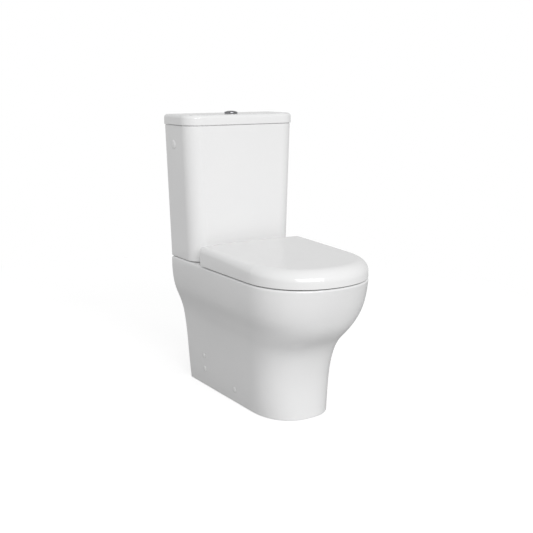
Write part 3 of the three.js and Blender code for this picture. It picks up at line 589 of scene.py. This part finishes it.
def make_seat():
    low, high = SEAT_LOW[2], SEAT_HIGH[2]

    def plan(z, inset):
        return at_height(d_outline(SEAT["rear"] - inset, SEAT["front"] + inset, SEAT["start"],
                                   SEAT["half"] - inset, SEAT["rear_half"] - inset,
                                   SEAT["corner"] - inset), z)

    def opening(z, grow):
        return at_height(egg_outline(SEAT_HOLE["front"] - grow, SEAT_HOLE["back"] + grow, SEAT_HOLE["wide"],
                                     SEAT_HOLE["half"] + grow), z)

    across = SEAT_ROUND["across"]
    under = rounding(SEAT_UNDER_ROUND["across"], 5, SEAT_UNDER_ROUND["up"])
    slab = [plan(low + rise, inset) for inset, rise in under[::-1]]
    slab += [plan(high - drop, inset) for inset, drop in rounding(across, 13, SEAT_ROUND["down"])]
    hole = [opening(low - 1, 0)]
    hole += [opening(high - drop, grow) for grow, drop in rounding(across, 13, SEAT_ROUND["hole_down"])]
    hole.append(opening(high + 1, across))
    ring = cut(loft("seat_ring_moulding", slab), loft("seat_opening", hole))
    for _, side in SIDES:
        x0, x1 = sorted(side * x for x in SEAT_LUG)
        ring = join(ring, lug("lug", x0, x1, (SEAT["rear"] - 6, HINGE[1] - KNUCKLE),
                              (HINGE[0], HINGE[1] + KNUCKLE)))
        ring = cut(ring, rod("pin_bore", PIN_BORE, (x0 - 1, *HINGE), (x1 + 1, *HINGE)))
    return ring


COVER = {"rear": 122, "half": 178.2, "start": -160, "corner": 7, "top": 461.2, "slope": 0.024, "crown": 3.3}
COVER_WALL = 5
COVER_ROOF = 6
COVER_SWEEP = 18.4  # nothing behind the hinge and below it reaches further out than this
COVER_LUG = (47, 68.5)
POST_GAP = {"from": 60, "to": 95, "behind": 10.5, "above": 18}  # room for a hinge post as the cover turns
SIDE_EDGE = {"across": 20, "down": 18}  # size of the rounded edge
FRONT_EXTRA = {"across": 19, "down": 16}  # how much more it is at the front
REAR_EDGE = {"across": 6, "down": 5}


def cover_top(x, y):
    """Height of the cover's top, away from its edges: it slopes to the front and is crowned across."""
    return COVER["top"] - COVER["slope"] * (COVER["rear"] - y) - COVER["crown"] * (x / COVER["half"]) ** 2


def edge_drop(across, down, distance):
    """How far an elliptic edge has dropped below the top at a distance in from the side."""
    left = 1 - min(max(distance / max(across, 2), 0), 1)
    return max(down, 1) * (1 - math.sqrt(1 - left * left))


def cover_height(x, y, inset, wall, roof):
    """Height of the cover's skin at a point: its top, less the drop of its rounded edges."""
    t = ((COVER["rear"] - y) / (COVER["rear"] - COVER_LOW[1])) ** 2
    from_side = COVER["half"] - abs(x) if y > COVER["start"] else inset
    across = SIDE_EDGE["across"] + FRONT_EXTRA["across"] * t
    down = SIDE_EDGE["down"] + FRONT_EXTRA["down"] * t
    drops = [edge_drop(across - wall, down - roof, from_side - wall)]
    if y > 0:
        from_rear = COVER["rear"] - y
        drops.append(edge_drop(REAR_EDGE["across"] - wall, REAR_EDGE["down"] - roof, from_rear - wall))
    return cover_top(x, y) - roof - max(drops)


COVER_CURVE = 129  # points along the cover's rounded front


def cover_ring(inset, wall=0, roof=0, low=None):
    """The cover's outline drawn in by inset, at the height low if it is given and else on the skin.

    wall and roof are how far that skin lies inside the cover's own sides and top."""
    outline = d_outline(COVER["rear"] - inset, COVER_LOW[1] + inset, COVER["start"], COVER["half"] - inset,
                        corner=max(COVER["corner"] - inset, 2), curve=COVER_CURVE, sides=33, across=33,
                        ease=0.15)
    return [(x, y, low if low is not None else cover_height(x, y, inset, wall, roof)) for x, y in outline]


def make_cover():
    bottom, nose = COVER_LOW[2], COVER_CURVE // 2
    skin = [cover_ring(1, low=bottom), cover_ring(0.3, low=bottom + 0.4), cover_ring(0, low=bottom + 1.5)]
    skin += [cover_ring(inset)
             for inset in (0, 0.25, 0.6, 1, 1.6, 2.4, 3.5, 5, 6.6, 8.5, 11, 14, 17.5, 21.5, 26, 31, 37,
                           44, 52, 62, 75, 90, 110, 125, 140)]
    inside = [cover_ring(COVER_WALL, low=bottom - 1)]
    inside += [cover_ring(inset, COVER_WALL, COVER_ROOF)
               for inset in (COVER_WALL, 6, 7, 9, 12, 16, 22, 30, 45, 70, 110, 140)]
    sweep = cut(block("sweep", (-200, HINGE[0], bottom - 2), (200, COVER["rear"] + 2, HINGE[1])),
                rod("turn", COVER_SWEEP, (-201, *HINGE), (201, *HINGE), 96))
    cover = cut(loft("cover_moulding", skin, nose), loft("cover_inside", inside, nose), sweep)
    for _, side in SIDES:
        x0, x1 = sorted((side * POST_GAP["from"], side * POST_GAP["to"]))
        cover = cut(cover, block("post_gap", (x0, HINGE[0] + POST_GAP["behind"], bottom - 2),
                                 (x1, COVER["rear"] + 2, HINGE[1] + POST_GAP["above"])))
        x0, x1 = sorted(side * x for x in COVER_LUG)
        roof = cover_top(60, HINGE[0]) - COVER_ROOF + 1.5  # the lug grows 1.5 mm into the roof
        cover = join(cover, lug("lug", x0, x1, (HINGE[0] - KNUCKLE, HINGE[1]), (HINGE[0] + KNUCKLE, roof)))
        cover = cut(cover, rod("pin_bore", PIN_BORE, (x0 - 1, *HINGE), (x1 + 1, *HINGE)))
    return cover


# ---------------------------------------------------------------- caps
CAP = {"seat": 0.3, "brim": 0.9, "height": 2.8}
PLUG_SIZE = {"flange": 12.8, "stem": 11, "depth": 8}
SCREW_CAP_SIZE = {"flange": 8.5, "stem": 5.1, "depth": 3}
CAP_STANDOFF = 0.3  # between a screw cap's centre and the pan's side
PAN_LEAN = -0.087
TANK_LEAN = -math.atan((TANK["top_half"] - TANK["half"]) / (TANK_HIGH[2] - TANK_LOW[2]))


def make_cap(name, side, centre, size, lean):
    """A low domed cap on a side wall that leans in by lean radians as it rises, out if it is negative."""
    flange, stem, depth = size["flange"], size["stem"], size["depth"]
    dome = [(flange * math.cos(a), CAP["brim"] + (CAP["height"] - CAP["brim"]) * math.sin(a))
            for a in np.linspace(0, math.pi / 2, 13)]
    dome[-1] = (0, CAP["height"])
    profile = [(0, -depth), (stem, -depth), (stem, CAP["seat"]), (flange, CAP["seat"]), *dome]
    half, y, z = centre
    return lathe(name, profile, (side * half, y, z), 64, (side * math.cos(lean), 0, math.sin(lean)))


# ---------------------------------------------------------------- pieces in place
# Each stands in for the CAD node in its call; every other node keeps its CAD mesh.
finish_piece(make_pan(), CHINA, STATIC, "pan")
finish_piece(make_tank(), CHINA, STATIC, "cistern")
finish_piece(make_lid(), CHINA, "lid", "cistern_lid")
finish_piece(make_seat(), SEAT_PLASTIC, "seat", "seat_ring")
finish_piece(make_cover(), SEAT_PLASTIC, "cover", "seat_cover")
finish_piece(make_bezel(), CHROME, "lid", "button_bezel")
for kind, button in make_buttons().items():
    finish_piece(button, CHROME, f"{kind}_button", f"{kind}_flush_button")

for hand, side in SIDES:
    centre = (tank_half(SIDE_HOLE["z"]), SIDE_HOLE["y"], SIDE_HOLE["z"])
    plug = make_cap(f"cistern_plug_{hand}", side, centre, PLUG_SIZE, TANK_LEAN)
    finish_piece(plug, SEAT_PLASTIC, STATIC, f"cistern_side_plug_{hand}")
    for place, (y, z) in SIDE_SCREWS.items():
        centre = (pan_side(y, z) + CAP_STANDOFF, y, z)
        cap = make_cap(f"screw_cap_{place}_{hand}", side, centre, SCREW_CAP_SIZE, PAN_LEAN)
        finish_piece(cap, SEAT_PLASTIC, STATIC, f"pan_cap_{place}_{hand}")

slot_of = {part["node"]: part["material_slot"] for part in frame["record"]["subparts"]}
for name, node in frame["nodes"].items():
    if not node.hide_render:
        node.data.materials.clear()
        node.data.materials.append(BY_SLOT[slot_of[name]])
        node.data.set_sharp_from_angle(angle=math.radians(CAD_SHARP_EDGE))

# ---------------------------------------------------------------- floor, light and camera
FLOOR_GLOW = 0.66  # lifts the floor to the white of the surroundings where the camera sees it
FLOOR_MIDDLE = (0, 0.4, -0.0005)  # metres, like the lights and the camera; just below the pan
FLOOR_REACH = (1.6, 1.9)  # from its middle to its rim, across and along
ROOM_LIGHT = 0.61  # brightness of the surroundings in front of the object
REAR_LIGHT = 0.88  # and behind it
REAR_GLOW = (0.5, 0.86, 0)  # the direction that is brightest


def camera_switch(tree, otherwise, seen):
    """One shader for what the camera sees directly and another for all other rays."""
    camera_ray = add_node(tree, "ShaderNodeLightPath", {}).outputs["Is Camera Ray"]
    mix = add_node(tree, "ShaderNodeMixShader", {})
    for socket, source in zip(mix.inputs, (camera_ray, otherwise, seen)):
        tree.links.new(source, socket)
    return mix.outputs["Shader"]


def make_floor():
    bm = bmesh.new()
    (x, y, z), (across, along) = FLOOR_MIDDLE, FLOOR_REACH
    bm.faces.new([bm.verts.new((x + across * math.cos(a), y + along * math.sin(a), z))
                  for a in np.linspace(0, 2 * math.pi, 97)[:-1]])
    floor = to_object("studio_floor", bm)
    material = surface("pale_floor", (0.5, 0.5, 0.5), (0.49, 0.49, 0.49), (0.85, 0.95), patch=1.5,
                       bump=0.02)
    tree = material.node_tree
    plain = tree.nodes["Principled BSDF"].outputs["BSDF"]
    glow = add_node(tree, "ShaderNodeEmission", {"Strength": FLOOR_GLOW}).outputs["Emission"]
    lifted = add_node(tree, "ShaderNodeAddShader", {})
    for socket, source in zip(lifted.inputs, (plain, glow)):
        tree.links.new(source, socket)
    tree.links.new(camera_switch(tree, plain, lifted.outputs["Shader"]),
                   tree.nodes["Material Output"].inputs["Surface"])
    floor.data.materials.append(material)


def make_world():
    """White where the camera looks past the object; for light and reflections, brighter from behind it."""
    world = bpy.data.worlds.new("studio")
    world.use_nodes = True
    tree = world.node_tree
    tree.nodes.clear()
    behind = add_node(tree, "ShaderNodeVectorMath", {})
    behind.operation = "DOT_PRODUCT"
    behind.inputs[1].default_value = REAR_GLOW
    tree.links.new(add_node(tree, "ShaderNodeTexCoord", {}).outputs["Generated"], behind.inputs[0])
    rising = spread(tree, behind.outputs["Value"], ROOM_LIGHT, REAR_LIGHT, span=(0, 1))
    room = add_node(tree, "ShaderNodeBackground", {})
    tree.links.new(rising, room.inputs["Strength"])
    white = add_node(tree, "ShaderNodeBackground", {"Color": (1, 1, 1, 1), "Strength": 1.0})
    out = add_node(tree, "ShaderNodeOutputWorld", {})
    tree.links.new(camera_switch(tree, room.outputs["Background"], white.outputs["Background"]),
                   out.inputs["Surface"])
    bpy.context.scene.world = world


def area_light(name, place, aim, size, power):
    data = bpy.data.lights.new(name, "AREA")
    data.shape, (data.size, data.size_y), data.energy = "RECTANGLE", size, power
    light = bpy.data.objects.new(name, data)
    light.location = place
    light.rotation_euler = (Vector(aim) - Vector(place)).to_track_quat("-Z", "Y").to_euler()
    bpy.context.scene.collection.objects.link(light)


def set_camera(place, down, turned, lens):
    """A camera that looks down and is turned from straight ahead, both in degrees."""
    data = bpy.data.cameras.new("camera")
    data.lens, data.sensor_width = lens, 36
    viewer = bpy.data.objects.new("camera", data)
    viewer.location = place
    viewer.rotation_euler = (math.radians(90 - down), 0, math.radians(-turned))
    bpy.context.scene.collection.objects.link(viewer)
    bpy.context.scene.camera = viewer


make_floor()
make_world()
area_light("key", (-1.3, -5.4, 3.3), (0, 0, 0.4), (5.4, 2.9), 250)
area_light("left", (-2.6, 0.2, 2.2), (0, 0.1, 0.5), (1.8, 1.8), 2.5)
set_camera((-1.3773, -2.1108, 0.9363), down=11.97, turned=32.63, lens=60.46)
bpy.context.scene.view_settings.view_transform = "Standard"

bpy.context.view_layer.update()
